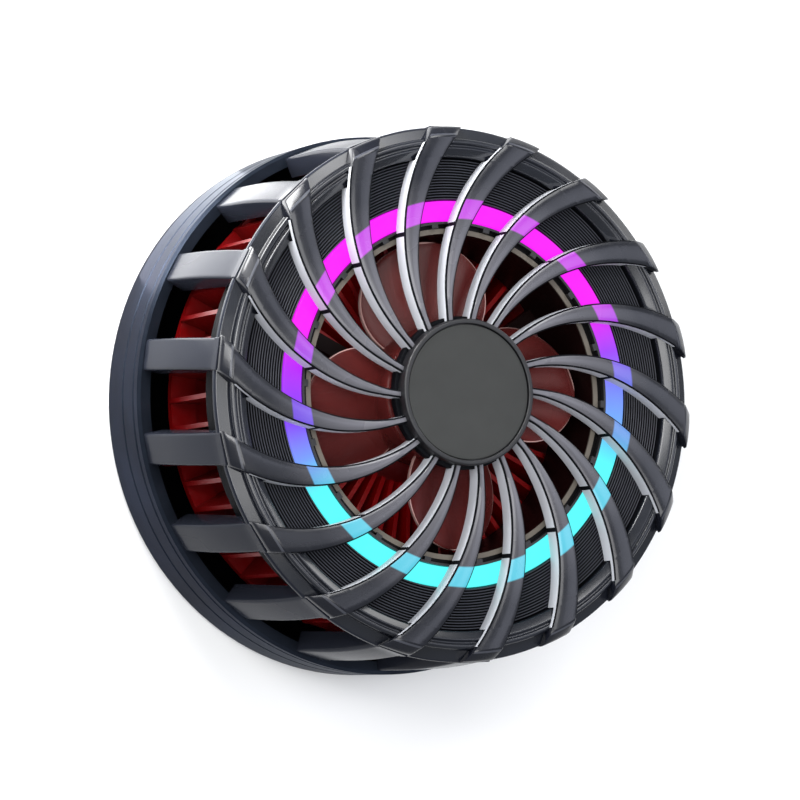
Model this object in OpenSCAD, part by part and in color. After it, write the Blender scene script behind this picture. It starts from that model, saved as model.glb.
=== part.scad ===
// Round clip-on phone cooler: a smoky cage of swept spokes over a paddle fan, a lit ring,
// a red finned heat sink, a thermoelectric plate and a magnetic contact face at the rear.
// Millimetres. Z is the fan axis, the contact face lies on z = 0 and the intake faces +Z.

/* [Base cup] */
// Outer radius of the metal base cup
body_r = 36; // [34:0.5:40]
// Height of the base cup
base_h = 9.8; // [9.2:0.1:12]
// Thickness of the cup's side wall
cup_wall = 1.8; // [1.2:0.1:2.4]
// Thickness of the cup's floor
floor_t = 3.4; // [3.1:0.1:3.8]
// Bevel on the cup's two outer edges
cup_bevel = 0.4; // [0.2:0.1:0.8]
// Height of the lower turned groove above the contact face
groove_low_z = 4.9; // [3:0.1:6]
// Height of the upper turned groove above the contact face
groove_high_z = 8.2; // [7:0.1:8.6]
// Width of a turned groove
groove_w = 0.5; // [0.3:0.1:0.8]
// Depth of a turned groove
groove_d = 0.3; // [0.1:0.1:0.6]

/* [Contact face] */
// Thickness of the silicone contact pad
pad_t = 0.8; // [0.5:0.1:1.2]
// Thickness of the aluminium cold plate
cold_t = 2.0; // [1.6:0.1:2.4]
// Radial width of the magnet ring
magnet_w = 5.5; // [4:0.1:6]
// Thickness of the magnets
magnet_t = 1.5; // [1.2:0.1:1.8]
// Thickness of the steel ring behind the magnets
shunt_t = 0.5; // [0.3:0.1:0.7]
// Thickness of the soft ring that covers the magnets
cover_t = 0.6; // [0.4:0.1:0.8]
// Number of arc magnets
magnet_n = 12; // [8:1:18]
// Slit between two magnets
magnet_slit = 0.4; // [0.2:0.1:0.8]
// Wall of the cup floor between the cold plate and the magnets
floor_lip = 2.2; // [1.6:0.1:2.8]

/* [Thermoelectric plate] */
// Distance of the clamp screws from the plate's edge
clamp_edge = 2.6; // [2.2:0.1:3]
// Width of the cold plate beyond the thermoelectric plate's corners
cold_lip = 2.1; // [1.2:0.1:2.4]
// Side of the square thermoelectric plate
peltier_w = 26; // [22:1:28]
// Thickness of each ceramic face
ceramic_t = 0.8; // [0.5:0.1:1]
// Height of the semiconductor legs
pellet_h = 2.0; // [1.4:0.1:2.4]
// Side of one semiconductor leg
pellet_w = 1.4; // [1:0.1:1.8]
// Legs along one side of the plate
pellet_n = 8; // [6:1:9]
// Radius of a supply lead
lead_r = 0.5; // [0.4:0.05:0.6]
// Distance of a supply lead from the middle
lead_y = 8; // [6:0.5:10]

/* [Heat sink] */
// Thickness of the heat sink's base plate
sink_base_t = 2.5; // [2:0.1:3]
// Thickness of the heat sink's screw lugs
sink_lug_t = 2.4; // [2.3:0.05:2.4]
// Height of the low fins under the fan
fin_low_h = 8.6; // [6:0.1:10]
// Thickness of a fin
fin_t = 0.6; // [0.4:0.1:0.9]
// Number of fins
fin_n = 54; // [36:9:72]
// Radius at which the fins begin
fin_in_r = 11; // [9:0.5:14]
// Rise of the fins' lower edge from the base plate to the outside
fin_rise = 0.5; // [0.3:0.1:0.6]
// Thickness of the foot ring that carries the fins' outer ends
foot_t = 1.0; // [0.9:0.1:1.2]
// Depth of the foot ring in the base plate
foot_bite = 0.3; // [0.2:0.05:0.35]
// Gap between the heads of the fan's screws and the ledge above them
head_gap = 0.2; // [0.1:0.1:0.6]
// Gap between the fins and the side ribs
fin_side_gap = 1.1; // [0.8:0.1:1.6]
// Radius of a screw pillar or lug
pillar_r = 2.2; // [2:0.1:2.4]

/* [Fan] */
// Radius of the blade tips
tip_r = 20.2; // [18:0.1:20.6]
// Number of paddle blades
blade_n = 4; // [3:1:4]
// Radius of one round paddle
paddle_r = 7.8; // [6.5:0.1:8]
// Angle of the first blade in degrees
blade_a = 5; // [0:1:90]
// Pitch of the blades in degrees
blade_pitch = 20; // [14:1:22]
// Thickness of a blade
blade_t = 1.0; // [0.7:0.1:1.3]
// Outer radius of the impeller's hub
fan_hub_r = 9.2; // [9:0.1:9.6]
// Wall of the impeller's hub
fan_hub_wall = 0.75; // [0.6:0.05:1]
// Thickness of the impeller's front disc
fan_disc_t = 1.2; // [1:0.1:1.6]
// Gap between the motor base and the blades
blade_gap = 1.0; // [0.8:0.1:1.4]
// Gap between the blades and the spokes
intake_gap = 2.1; // [1.6:0.1:3]
// Gap between the blade tips and the shroud
tip_gap = 0.6; // [0.4:0.1:0.9]
// Wall of the shroud
shroud_wall = 1.5; // [1.2:0.1:1.7]
// Gap between the low fins and the motor base
frame_gap = 1.0; // [0.9:0.1:1.4]
// Thickness of the motor base
motor_base_t = 1.6; // [1.4:0.1:2]
// Radius of the motor base
motor_base_r = 8.6; // [8:0.1:9]
// Thickness of a strut
strut_t = 1.2; // [0.8:0.1:1.3]
// Width of a strut
strut_w = 2.0; // [1.4:0.1:3]
// Thickness of a screw lug on the shroud
lug_t = 1.2; // [1:0.1:1.4]

/* [Motor] */
// Radius of the shaft
shaft_r = 1.0; // [0.8:0.05:1.2]
// Radial running clearance of the shaft in its sleeve
shaft_gap = 0.03; // [0.02:0.01:0.08]
// Wall of the bearing sleeve
sleeve_wall = 1.2; // [0.9:0.1:1.4]
// Thickness of the thrust pad under the shaft
thrust_t = 0.6; // [0.4:0.05:0.7]
// Outer radius of the stator
stator_r = 6.6; // [6.4:0.1:6.7]
// Height of the stator's core
stator_h = 2.8; // [2:0.1:3.2]
// Wall of the stator core's ring
core_wall = 1.1; // [0.8:0.1:1.3]
// Share of the stator's outside that the shoes cover
shoe_share = 0.72; // [0.6:0.02:0.84]
// Thickness of a pole's shoe
shoe_t = 0.8; // [0.6:0.1:1]
// Gap between the motor's circuit board and the rotor
skirt_gap = 0.3; // [0.2:0.05:0.5]
// Thickness of the motor base under the bearing
pocket_floor = 0.5; // [0.4:0.1:0.8]
// Number of stator poles
pole_n = 6; // [4:1:6]
// Width of a stator pole
pole_w = 1.2; // [1:0.1:1.4]
// Thickness of the copper winding round a pole
coil_t = 0.6; // [0.4:0.05:0.65]
// Air gap between the stator and the rotor magnet
air_gap = 0.3; // [0.2:0.05:0.4]
// Thickness of the steel yoke
yoke_t = 0.5; // [0.4:0.05:0.6]
// Thickness of the motor's circuit board
motor_board_t = 0.8; // [0.6:0.1:0.9]
// Radius of a thin internal lead
wire_r = 0.4; // [0.3:0.05:0.42]

/* [Cage] */
// Number of swept spokes, and of side ribs
spoke_n = 18; // [14:1:20]
// Distance of the crease on a spoke's end from the rim's outside
end_crease = 0.4; // [0.2:0.1:0.6]
// Rounding of a spoke's end
end_round = 0.1; // [0.05:0.05:0.2]
// Thickness of the spokes along the axis
spoke_t = 2.4; // [2:0.1:3]
// Plan radius of the spokes' two curved edges
spoke_arc_r = 24.7; // [23:0.1:27]
// Distance of the leading edge's arc centre from the axis
lead_arc_c = 25.1; // [24.9:0.05:25.2]
// Distance of the trailing edge's arc centre from the axis
trail_arc_c = 25.6; // [25.5:0.05:25.9]
// Angle of the leading edge's arc centre
lead_arc_a = -40.3; // [-42:0.1:-39]
// Angle of the trailing edge's arc centre
trail_arc_a = -32.8; // [-34:0.1:-31]
// Width of a side rib
rib_w = 4.2; // [3.4:0.1:4.8]
// Radial depth of a side rib
rib_depth = 2.8; // [2.2:0.1:3.2]
// Step from the cup's outside to the foot of the ribs
rib_inset = 0.6; // [0.4:0.1:1]
// How far the ribs curve inwards at the front
rib_lean = 0.85; // [0.4:0.05:1.2]
// Share of a rib's height that is upright
rib_straight = 0.3; // [0:0.05:0.6]
// Sideways lean of the ribs in degrees
rib_skew = 3.9; // [0:0.1:6]
// Radial width of the hoop outside the rim
hoop_w = 1.6; // [1.2:0.1:2]
// Thickness of the hoop
hoop_t = 1.3; // [1:0.1:1.6]
// Depth of the hoop's face below the rim's top
hoop_step = 1.0; // [0.6:0.1:1.2]
// Radial width of the rim
rim_w = 2.4; // [2:0.1:2.8]
// Depth of the rim's top below the spokes' top
rim_drop = 0.9; // [0.6:0.1:1.2]
// Depth of the trough between the rim's two lips
trough_d = 0.4; // [0.2:0.1:0.6]
// Width of one rim lip
lip_w = 0.55; // [0.4:0.05:0.7]
// Bevel on the rim's two edges
lip_bevel = 0.25; // [0.1:0.05:0.35]
// Thickness of the ledge that carries the light board
ledge_t = 1.0; // [0.8:0.1:1.2]
// Width of the ledge that carries the light board
ledge_w = 1.3; // [1:0.1:1.6]
// Thickness of the rim's skirt round the fins
skirt_t = 0.4; // [0.3:0.05:0.5]
// Depth of the rim's skirt below the ledge
skirt_h = 3.6; // [2:0.1:4]

/* [Lit ring] */
// Radial width of the lit ring
light_w = 2.6; // [2.2:0.1:3]
// Thickness of the lit ring
light_t = 1.2; // [1:0.1:1.6]
// Thickness of the light board
led_board_t = 1.0; // [0.8:0.1:1.2]
// Height of a light chip
led_h = 0.8; // [0.6:0.1:1]
// Side of a light chip
led_w = 2.0; // [1.6:0.1:2.2]
// Number of ridges on the ridged ring
ridge_n = 15; // [8:1:18]
// Depth of the grooves between ridges
ridge_d = 0.45; // [0.2:0.05:0.8]
// Height of the shroud's edge below the spokes
shroud_drop = 0.7; // [0.5:0.1:1]
// Wall of the clip ring
clip_t = 0.3; // [0.2:0.05:0.5]
// Depth of a tab on the clip ring
tab_d = 0.5; // [0.3:0.1:0.7]
// Width of a tab on the clip ring
tab_w = 0.9; // [0.6:0.1:1.4]
// Angle of a tab before the middle of the gap between two spokes
tab_shift = 1.5; // [0:0.1:3]

/* [Hub] */
// Radius of the hub bezel
bezel_r = 9.5; // [9:0.1:10]
// Height of the hub bezel above the spokes
bezel_up = 0.9; // [0.5:0.1:1.4]
// Radius of the hub cap
cap_r = 8.7; // [8:0.1:8.8]
// Thickness of the hub cap at its edge
cap_t = 0.4; // [0.3:0.05:0.5]
// Depth of the dish in the cap's face
cap_dish = 0.1; // [0.05:0.05:0.2]
// Width of the flat edge round the dish
cap_land = 0.8; // [0.4:0.1:1.5]
// Depth of the cap's pocket
cap_pocket = 0.6; // [0.5:0.05:0.9]
// Radial width of the spokes' collar
collar_w = 2.0; // [1.6:0.1:2.4]
// Height of the collar's lower face above the spokes' lower face
collar_up = 0.3; // [0.1:0.1:0.6]
// Step from the bezel's side to the collar's side
collar_step = 0.4; // [0.2:0.1:0.8]
// Height of the spokes' collar
collar_h = 1.5; // [1.2:0.1:1.8]

/* [Electronics] */
// Thickness of the control board
board_t = 1.0; // [0.8:0.1:1.2]
// Radial width of the control board
board_w = 6.4; // [5:0.1:7]
// Height of the control board above the cup's floor
board_up = 0.6; // [0.4:0.1:0.8]
// Half of the angle that the control board spans, in degrees
board_half_a = 58; // [52:1:62]
// Side of a chip on the control board
chip_w = 3.4; // [2:0.1:4]
// Height of a chip on the control board
chip_h = 1.0; // [0.7:0.1:1.2]
// Width of the supply socket's shell
usb_w = 8.94; // [8.94:0.01:8.94]
// Height of the supply socket's shell
usb_h = 3.26; // [3.26:0.01:3.26]
// Depth of the supply socket
usb_d = 7.3; // [6.8:0.1:7.5]
// Wall of the supply socket's shell
usb_wall = 0.3; // [0.2:0.05:0.4]
// Width of the supply socket's tongue
tongue_w = 6.69; // [6.69:0.01:6.69]
// Depth of the block that carries the tongue
tongue_root = 1.5; // [1.2:0.1:2]
// Thickness of the supply socket's tongue
tongue_t = 0.7; // [0.6:0.05:0.8]
// Depth of the socket's mouth below the cup's outside
usb_setback = 0.3; // [0.1:0.1:0.6]

/* [Screws and fits] */
// Shank radius of the screws
screw_r = 0.8; // [0.6:0.05:0.9]
// Head radius of the screws
head_r = 1.5; // [1.3:0.05:1.6]
// Head height of the screws
head_h = 1.1; // [0.9:0.05:1.2]
// Wall between the magnets and the sink screws' heads
screw_wall = 1.0; // [0.6:0.1:1.2]
// Depth that a case boss reaches into the cup's wall
boss_bite = 1.0; // [0.5:0.1:1.2]
// Radius of the cup's screw bosses
boss_r = 1.8; // [1.6:0.05:2]
// Depth of the case bosses' ends below the cup's front face
boss_drop = 0.2; // [0.1:0.1:0.5]
// Depth of the frame screws in the heat sink
frame_screw_d = 6; // [4:0.5:8]
// Depth of the case screws in the ribs
rib_screw_d = 5; // [3:0.5:7]
// Metal left over the end of a blind screw hole
screw_roof = 0.4; // [0.3:0.1:0.6]
// Slack between a screw's end and its hole's end
screw_end = 0.2; // [0.1:0.1:0.4]
// Slack between fixed pieces that slip together
fit = 0.05; // [0.03:0.01:0.1]
// Free gap between neighbouring pieces
part_gap = 0.4; // [0.2:0.1:0.6]
// Slack between neighbouring rings
ring_gap = 0.1; // [0.05:0.05:0.2]

/* [Hidden] */
$fn = 96;
eps = 1;
pitch = 360/spoke_n;
cross_w = 0.45;
cross_d = 0.5;

// Heights, from the contact face to the front
z_cold = pad_t;
z_ceramic = z_cold + cold_t;
z_pellet = z_ceramic + ceramic_t;
z_hot = z_pellet + pellet_h;
z_sink = z_hot + ceramic_t;
z_fin = z_sink + sink_base_t;
z_low_top = z_fin + fin_low_h;
z_frame = z_low_top + frame_gap;
z_motor = z_frame + motor_base_t;
z_blade = z_motor + blade_gap;
blade_h = 2*(paddle_r*tan(blade_pitch) + blade_t/2/cos(blade_pitch));
z_blade_top = z_blade + blade_h;
z_spoke = z_blade_top + intake_gap;
z_front = z_spoke + spoke_t;
z_rim = z_front - rim_drop;
z_hoop = z_rim - hoop_step;
z_rib_top = z_hoop - hoop_t;
z_light = z_spoke - light_t;
z_led = z_light - led_h;
z_led_board = z_led - led_board_t;
z_ledge = z_led_board - ledge_t;
z_tall_top = z_ledge - head_gap - head_h - lug_t;
z_shroud_top = z_spoke - shroud_drop;
z_board = floor_t + board_up;
z_board_top = z_board + board_t;
z_usb = z_board_top + usb_h/2;
z_collar = z_spoke + collar_h;
collar_r = bezel_r + collar_step;
z_bezel = z_front + bezel_up;
z_cap = z_bezel - cap_pocket;

// Radii, from the outside to the axis
cup_in_r = body_r - cup_wall;
rib_out_r = body_r - rib_inset;
rib_in_r = rib_out_r - rib_depth;
fin_out_r = rib_in_r - fin_side_gap;
hoop_r = rib_out_r - rib_lean;
rim_r = hoop_r - hoop_w;
rim_in_r = rim_r - rim_w;
ledge_r = rim_in_r - ledge_w;
skirt_r = rib_in_r - part_gap;
boss_c = cup_in_r - boss_r + boss_bite;
board_r = boss_c - boss_r - part_gap;
board_in_r = board_r - board_w;
board_c = (board_r + board_in_r)/2;
usb_x = body_r - usb_setback - usb_d;
sink_base_r = usb_x - part_gap;

// Radii, from the fan to the rings round it
shroud_in_r = tip_r + tip_gap;
shroud_r = shroud_in_r + shroud_wall;
light_in_r = shroud_r + ring_gap;
light_r = light_in_r + light_w;
ridge_in_r = light_r + ring_gap;
ridge_r = rim_in_r - ring_gap;
led_board_in_r = light_in_r + ring_gap;
led_c = (light_in_r + light_r)/2;
wire_c = shroud_r + ring_gap + wire_r;
fin_step_r = wire_c + wire_r + ring_gap;
frame_screw_c = fin_step_r + pillar_r + part_gap;
led_wire_c = sink_base_r + wire_r + part_gap;

// Radii of the contact face, from the thermoelectric plate outwards
clamp_c = peltier_w/2 + clamp_edge;
cold_r = peltier_w/2*sqrt(2) + cold_lip;
floor_in_r = cold_r + part_gap;
magnet_in_r = floor_in_r + floor_lip;
magnet_r = magnet_in_r + magnet_w;
groove_depth = cover_t + magnet_t + shunt_t;
sink_screw_c = magnet_r + head_r + screw_wall;

// Motor sizes
sleeve_r = shaft_r + shaft_gap + sleeve_wall;
pocket_z = z_frame + pocket_floor;
z_sleeve = pocket_z + thrust_t;
z_shaft = z_sleeve + fit;
yoke_r = fan_hub_r - fan_hub_wall - fit;
magnet_out_r = yoke_r - yoke_t - fit;
magnet_bore_r = stator_r + air_gap;
z_disc = z_blade_top - fan_disc_t;
z_yoke_top = z_disc - fit;
z_stator = z_motor + motor_board_t + coil_t + ring_gap;
z_coil_top = z_stator + stator_h + coil_t;
z_sleeve_top = z_coil_top + ring_gap;
core_r = sleeve_r + fit;
pole_in_r = core_r + core_wall;
z_skirt = z_motor + motor_board_t + skirt_gap;
fan_wire_c = stator_r - wire_r;

// Angles
spoke_mid_a = (lead_arc_a + trail_arc_a)/2;
spoke_mid_c = (lead_arc_c + trail_arc_c)/2;
function spoke_angle(r) =
  spoke_mid_a + acos((r*r + spoke_mid_c*spoke_mid_c - spoke_arc_r*spoke_arc_r)/(2*r*spoke_mid_c));
rib_front_a = spoke_angle(hoop_r);
rib_len = z_rib_top - base_h;
rib_drift = rib_len*tan(rib_skew)/rib_out_r*180/PI;
rib_mid_a = rib_front_a - rib_drift/2;
rib_foot_a = rib_front_a - rib_drift;
gap_a = spoke_angle(light_in_r) - pitch/2 - tab_shift;
case_ribs = [for (k = [1 : 3 : spoke_n - 1]) k];
sink_ribs = [3, 9, 14];
sink_angles = [for (k = sink_ribs) rib_mid_a + k*pitch];
board_angles = [-48, 25, 48];
chip_angles = [-38, -28, 33];
frame_angles = [90, 210, 330];
strut_angles = [30, 150, 270];
clamp_angles = [0, 90, 180, 270];
led_wire_a = round(40/(360/fin_n))*360/fin_n;

// Ring between two radii, from z0 up by h
module ring(r_out, r_in, z0, h) {
  translate([0, 0, z0]) difference() {
    cylinder(r = r_out, h = h);
    translate([0, 0, -eps]) cylinder(r = r_in, h = h + 2*eps);
  }
}

// Copies of the children at the given angles and radius
module at_angles(angles, r) {
  for (a = angles) rotate([0, 0, a]) translate([r, 0, 0]) children();
}

// Screw with its head at z = 0 and its shank along +Z
module screw(len) {
  difference() {
    union() {
      cylinder(r = head_r, h = head_h);
      cylinder(r = screw_r, h = head_h + len);
    }
    for (a = [0, 90]) rotate([0, 0, a])
      translate([-head_r*0.6, -cross_w/2, -eps]) cube([head_r*1.2, cross_w, cross_d + eps]);
  }
}

// Flat bar with two round sides, along +X, centred on y = 0 and z = 0
module stadium(w, h, len) {
  translate([0, -(w - h)/2, -h/2]) cube([len, w - h, h]);
  for (s = [-1, 1]) translate([0, s*(w - h)/2, 0]) rotate([0, 90, 0]) cylinder(r = h/2, h = len);
}

// Straight round lead from one point to another along an axis
module wire(p, len, turn, r) {
  translate(p) rotate(turn) cylinder(r = r, h = len, $fn = 24);
}

module thermal_pad() {
  color("gray") cylinder(r = cold_r, h = pad_t);
}

module magnet_cover() {
  color("dimgray") ring(magnet_r, magnet_in_r, 0, cover_t);
}

module magnets() {
  color("silver") difference() {
    ring(magnet_r, magnet_in_r, cover_t, magnet_t);
    for (k = [0 : magnet_n - 1]) rotate([0, 0, k*360/magnet_n])
      translate([0, -magnet_slit/2, cover_t - eps])
        cube([magnet_r + eps, magnet_slit, magnet_t + 2*eps]);
  }
}

module shunt_ring() {
  color("lightsteelblue") ring(magnet_r, magnet_in_r, cover_t + magnet_t, shunt_t);
}

// Section of the cup: bevelled outer wall with two turned grooves, and a floor
module cup_section() {
  polygon([
    [floor_in_r, 0], [body_r - cup_bevel, 0], [body_r, cup_bevel],
    [body_r, groove_low_z - groove_w/2], [body_r - groove_d, groove_low_z],
    [body_r, groove_low_z + groove_w/2],
    [body_r, groove_high_z - groove_w/2], [body_r - groove_d, groove_high_z],
    [body_r, groove_high_z + groove_w/2],
    [body_r, base_h - cup_bevel], [body_r - cup_bevel, base_h],
    [cup_in_r, base_h], [cup_in_r, floor_t], [floor_in_r, floor_t]
  ]);
}

module base_cup() {
  color("slategray") difference() {
    union() {
      rotate_extrude() cup_section();
      for (k = case_ribs) rotate([0, 0, rib_foot_a + k*pitch]) translate([boss_c, 0, floor_t/2])
        cylinder(r = boss_r, h = base_h - boss_drop - floor_t/2);
      at_angles(sink_angles, sink_screw_c) translate([0, 0, floor_t/2])
        cylinder(r = pillar_r, h = z_sink - floor_t/2);
      at_angles(board_angles, board_c) translate([0, 0, groove_depth])
        cylinder(r = boss_r, h = z_board - groove_depth);
    }
    ring(magnet_r + fit, magnet_in_r - fit, -eps, groove_depth + eps);
    for (k = case_ribs) rotate([0, 0, rib_foot_a + k*pitch]) translate([boss_c, 0, -eps]) {
      cylinder(r = screw_r + ring_gap, h = base_h + 2*eps);
      cylinder(r = head_r + ring_gap, h = floor_t/2 + eps);
    }
    at_angles(sink_angles, sink_screw_c) translate([0, 0, -eps]) {
      cylinder(r = screw_r + ring_gap, h = z_sink + 2*eps);
      cylinder(r = head_r + ring_gap, h = floor_t/2 + eps);
    }
    at_angles(board_angles, board_c) translate([0, 0, groove_depth + ring_gap])
      cylinder(r = screw_r + fit, h = z_board);
    translate([usb_x, 0, z_usb]) stadium(usb_w + 2*ring_gap, usb_h + 2*ring_gap, usb_d + 2*eps);
  }
}

module cold_plate() {
  color("silver") difference() {
    translate([0, 0, z_cold]) cylinder(r = cold_r, h = cold_t);
    at_angles(clamp_angles, clamp_c) {
      cylinder(r = screw_r + ring_gap, h = z_ceramic + eps);
      cylinder(r = head_r + ring_gap, h = z_cold + head_h);
    }
  }
}

module clamp_screws() {
  color("gainsboro") at_angles(clamp_angles, clamp_c) translate([0, 0, z_cold])
    screw(z_fin - screw_roof - screw_end - z_cold - head_h);
}

module gasket() {
  color("black") difference() {
    translate([0, 0, z_ceramic]) cylinder(r = cold_r, h = z_sink - z_ceramic);
    translate([-peltier_w/2 - fit, -peltier_w/2 - fit, z_ceramic - eps])
      cube([peltier_w + 2*fit, peltier_w + 2*fit, z_sink - z_ceramic + 2*eps]);
    at_angles(clamp_angles, clamp_c) cylinder(r = screw_r + ring_gap, h = z_sink + eps);
    for (s = [-1, 1]) translate([0, s*lead_y - lead_r - fit, z_board_top - fit])
      cube([cold_r + eps, 2*(lead_r + fit), z_sink]);
  }
}

module peltier_face(z0) {
  translate([-peltier_w/2, -peltier_w/2, z0]) cube([peltier_w, peltier_w, ceramic_t]);
}

module peltier_cold_face() {
  color("white") peltier_face(z_ceramic);
}

module peltier_hot_face() {
  color("white") peltier_face(z_hot);
}

module peltier_legs() {
  step = (peltier_w - 2)/pellet_n;
  first = -step*(pellet_n - 1)/2 - pellet_w/2;
  color("darkgray") for (i = [0 : pellet_n - 1]) for (j = [0 : pellet_n - 1])
    translate([first + i*step, first + j*step, z_pellet]) cube([pellet_w, pellet_w, pellet_h]);
}

module peltier_leads() {
  color("firebrick") for (s = [-1, 1])
    wire([peltier_w/2, s*lead_y, z_board_top + lead_r], board_c - peltier_w/2 - boss_r, [0, 90, 0], lead_r);
}

// Upright section of one fin, low under the fan and tall outside the shroud
module fin() {
  rotate([90, 0, 0]) translate([0, 0, -fin_t/2]) linear_extrude(fin_t) polygon([
    [fin_in_r, z_fin - fit], [sink_base_r - fin_rise, z_fin - fit], [fin_out_r, z_fin + fin_rise],
    [fin_out_r, z_tall_top], [fin_step_r, z_tall_top], [fin_step_r, z_low_top], [fin_in_r, z_low_top]
  ]);
}

module heat_sink() {
  color("firebrick") difference() {
    union() {
      translate([0, 0, z_sink]) cylinder(r = sink_base_r, h = sink_base_t);
      ring(board_r, sink_base_r - foot_bite, z_fin - foot_bite, foot_t);
      for (k = [0 : fin_n - 1]) rotate([0, 0, (k + 0.5)*360/fin_n]) fin();
      at_angles(frame_angles, frame_screw_c) translate([0, 0, z_fin - fit])
        cylinder(r = pillar_r, h = z_tall_top - z_fin + fit);
      for (a = sink_angles) rotate([0, 0, a]) translate([0, 0, z_sink]) {
        translate([sink_screw_c, 0, 0]) cylinder(r = pillar_r, h = sink_lug_t);
        translate([sink_base_r - pillar_r, -pillar_r, 0])
          cube([sink_screw_c - sink_base_r + pillar_r, 2*pillar_r, sink_lug_t]);
      }
    }
    at_angles(frame_angles, frame_screw_c) translate([0, 0, z_fin])
      cylinder(r = screw_r + fit, h = z_tall_top);
    at_angles(clamp_angles, clamp_c) cylinder(r = screw_r + fit, h = z_fin - screw_roof);
    at_angles([led_wire_a], led_wire_c) cylinder(r = wire_r + fit, h = z_front);
    at_angles(sink_angles, sink_screw_c) cylinder(r = screw_r + fit, h = z_sink + sink_lug_t - screw_roof);
  }
}

module sink_screws() {
  color("gainsboro") at_angles(sink_angles, sink_screw_c) translate([0, 0, floor_t/2 - head_h])
    screw(z_sink + sink_lug_t - screw_roof - screw_end - floor_t/2);
}

module control_board() {
  color("darkgreen") difference() {
    intersection() {
      ring(board_r, board_in_r, z_board, board_t);
      linear_extrude(z_sink) polygon([
        [0, 0], [2*body_r*cos(board_half_a), -2*body_r*sin(board_half_a)], [2*body_r, 0],
        [2*body_r*cos(board_half_a), 2*body_r*sin(board_half_a)]
      ]);
    }
    at_angles(board_angles, board_c) cylinder(r = screw_r + fit, h = z_sink);
  }
}

module board_chips() {
  color("black") for (a = chip_angles) rotate([0, 0, a])
    translate([board_c - chip_w/2, -chip_w/2, z_board_top]) cube([chip_w, chip_w, chip_h]);
}

module board_screws() {
  color("gainsboro") at_angles(board_angles, board_c)
    translate([0, 0, z_board_top + head_h]) rotate([180, 0, 0])
      screw(z_board_top - groove_depth - ring_gap - screw_end);
}

module usb_shell() {
  color("silver") translate([usb_x, 0, z_usb]) difference() {
    stadium(usb_w, usb_h, usb_d);
    translate([-eps, 0, 0]) stadium(usb_w - 2*usb_wall, usb_h - 2*usb_wall, usb_d + 2*eps);
  }
}

module usb_tongue() {
  color("black") translate([usb_x, 0, z_usb]) {
    stadium(usb_w - 2*usb_wall - 2*fit, usb_h - 2*usb_wall - 2*fit, tongue_root);
    translate([eps, -tongue_w/2, -tongue_t/2]) cube([usb_d - 2*eps, tongue_w, tongue_t]);
  }
}

module led_lead() {
  color("black") rotate([0, 0, led_wire_a])
    wire([led_wire_c, 0, z_board_top], z_led_board - z_board_top, [0, 0, 0], wire_r);
}

module fan_frame() {
  lug_x = shroud_in_r + shroud_wall/2;
  color("dimgray") difference() {
    union() {
      ring(shroud_r, shroud_in_r, z_frame, z_shroud_top - z_frame);
      translate([0, 0, z_frame]) cylinder(r = motor_base_r, h = motor_base_t);
      for (a = strut_angles) rotate([0, 0, a])
        translate([motor_base_r - eps, -strut_w/2, z_frame + (motor_base_t - strut_t)/2])
          cube([lug_x - motor_base_r + eps, strut_w, strut_t]);
      for (a = frame_angles) rotate([0, 0, a]) translate([0, 0, z_tall_top]) {
        translate([lug_x, -pillar_r, 0]) cube([frame_screw_c - lug_x, 2*pillar_r, lug_t]);
        translate([frame_screw_c, 0, 0]) cylinder(r = pillar_r, h = lug_t);
      }
    }
    at_angles(frame_angles, frame_screw_c) cylinder(r = screw_r + ring_gap, h = z_front);
    translate([0, 0, pocket_z]) cylinder(r = sleeve_r + fit, h = motor_base_t);
    rotate([0, 0, strut_angles[0]]) translate([fan_wire_c, 0, z_frame - eps])
      cylinder(r = wire_r + fit, h = motor_base_t + 2*eps, $fn = 24);
  }
}

module frame_screws() {
  color("gainsboro") at_angles(frame_angles, frame_screw_c)
    translate([0, 0, z_tall_top + lug_t + head_h]) rotate([180, 0, 0]) screw(lug_t + frame_screw_d);
}

module motor_board() {
  color("darkgreen") ring(stator_r + air_gap, sleeve_r + fit, z_motor, motor_board_t);
}

module thrust_pad() {
  color("ivory") translate([0, 0, pocket_z]) cylinder(r = sleeve_r, h = thrust_t);
}

module bearing_sleeve() {
  color("goldenrod") ring(sleeve_r, shaft_r + shaft_gap, z_sleeve, z_sleeve_top - z_sleeve);
}

module stator_core() {
  shoe_a = 360/pole_n*shoe_share/2;
  color("lightsteelblue") translate([0, 0, z_stator]) difference() {
    union() {
      cylinder(r = pole_in_r, h = stator_h);
      for (k = [0 : pole_n - 1]) rotate([0, 0, k*360/pole_n])
        translate([core_r, -pole_w/2, 0]) cube([stator_r - core_r - shoe_t/2, pole_w, stator_h]);
      intersection() {
        ring(stator_r, stator_r - shoe_t, 0, stator_h);
        for (k = [0 : pole_n - 1]) rotate([0, 0, k*360/pole_n]) linear_extrude(stator_h) polygon([
          [0, 0], [2*stator_r*cos(shoe_a), -2*stator_r*sin(shoe_a)],
          [2*stator_r*cos(shoe_a), 2*stator_r*sin(shoe_a)]
        ]);
      }
    }
    translate([0, 0, -eps]) cylinder(r = core_r, h = stator_h + 2*eps);
  }
}

module stator_coils() {
  coil_x0 = pole_in_r + ring_gap;
  coil_x1 = stator_r - shoe_t - ring_gap;
  color("peru") for (k = [0 : pole_n - 1]) rotate([0, 0, k*360/pole_n]) difference() {
    translate([coil_x0, -pole_w/2 - coil_t, z_stator - coil_t])
      cube([coil_x1 - coil_x0, pole_w + 2*coil_t, stator_h + 2*coil_t]);
    translate([coil_x0 - eps, -pole_w/2 - fit, z_stator - fit])
      cube([coil_x1 - coil_x0 + 2*eps, pole_w + 2*fit, stator_h + 2*fit]);
  }
}

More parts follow.
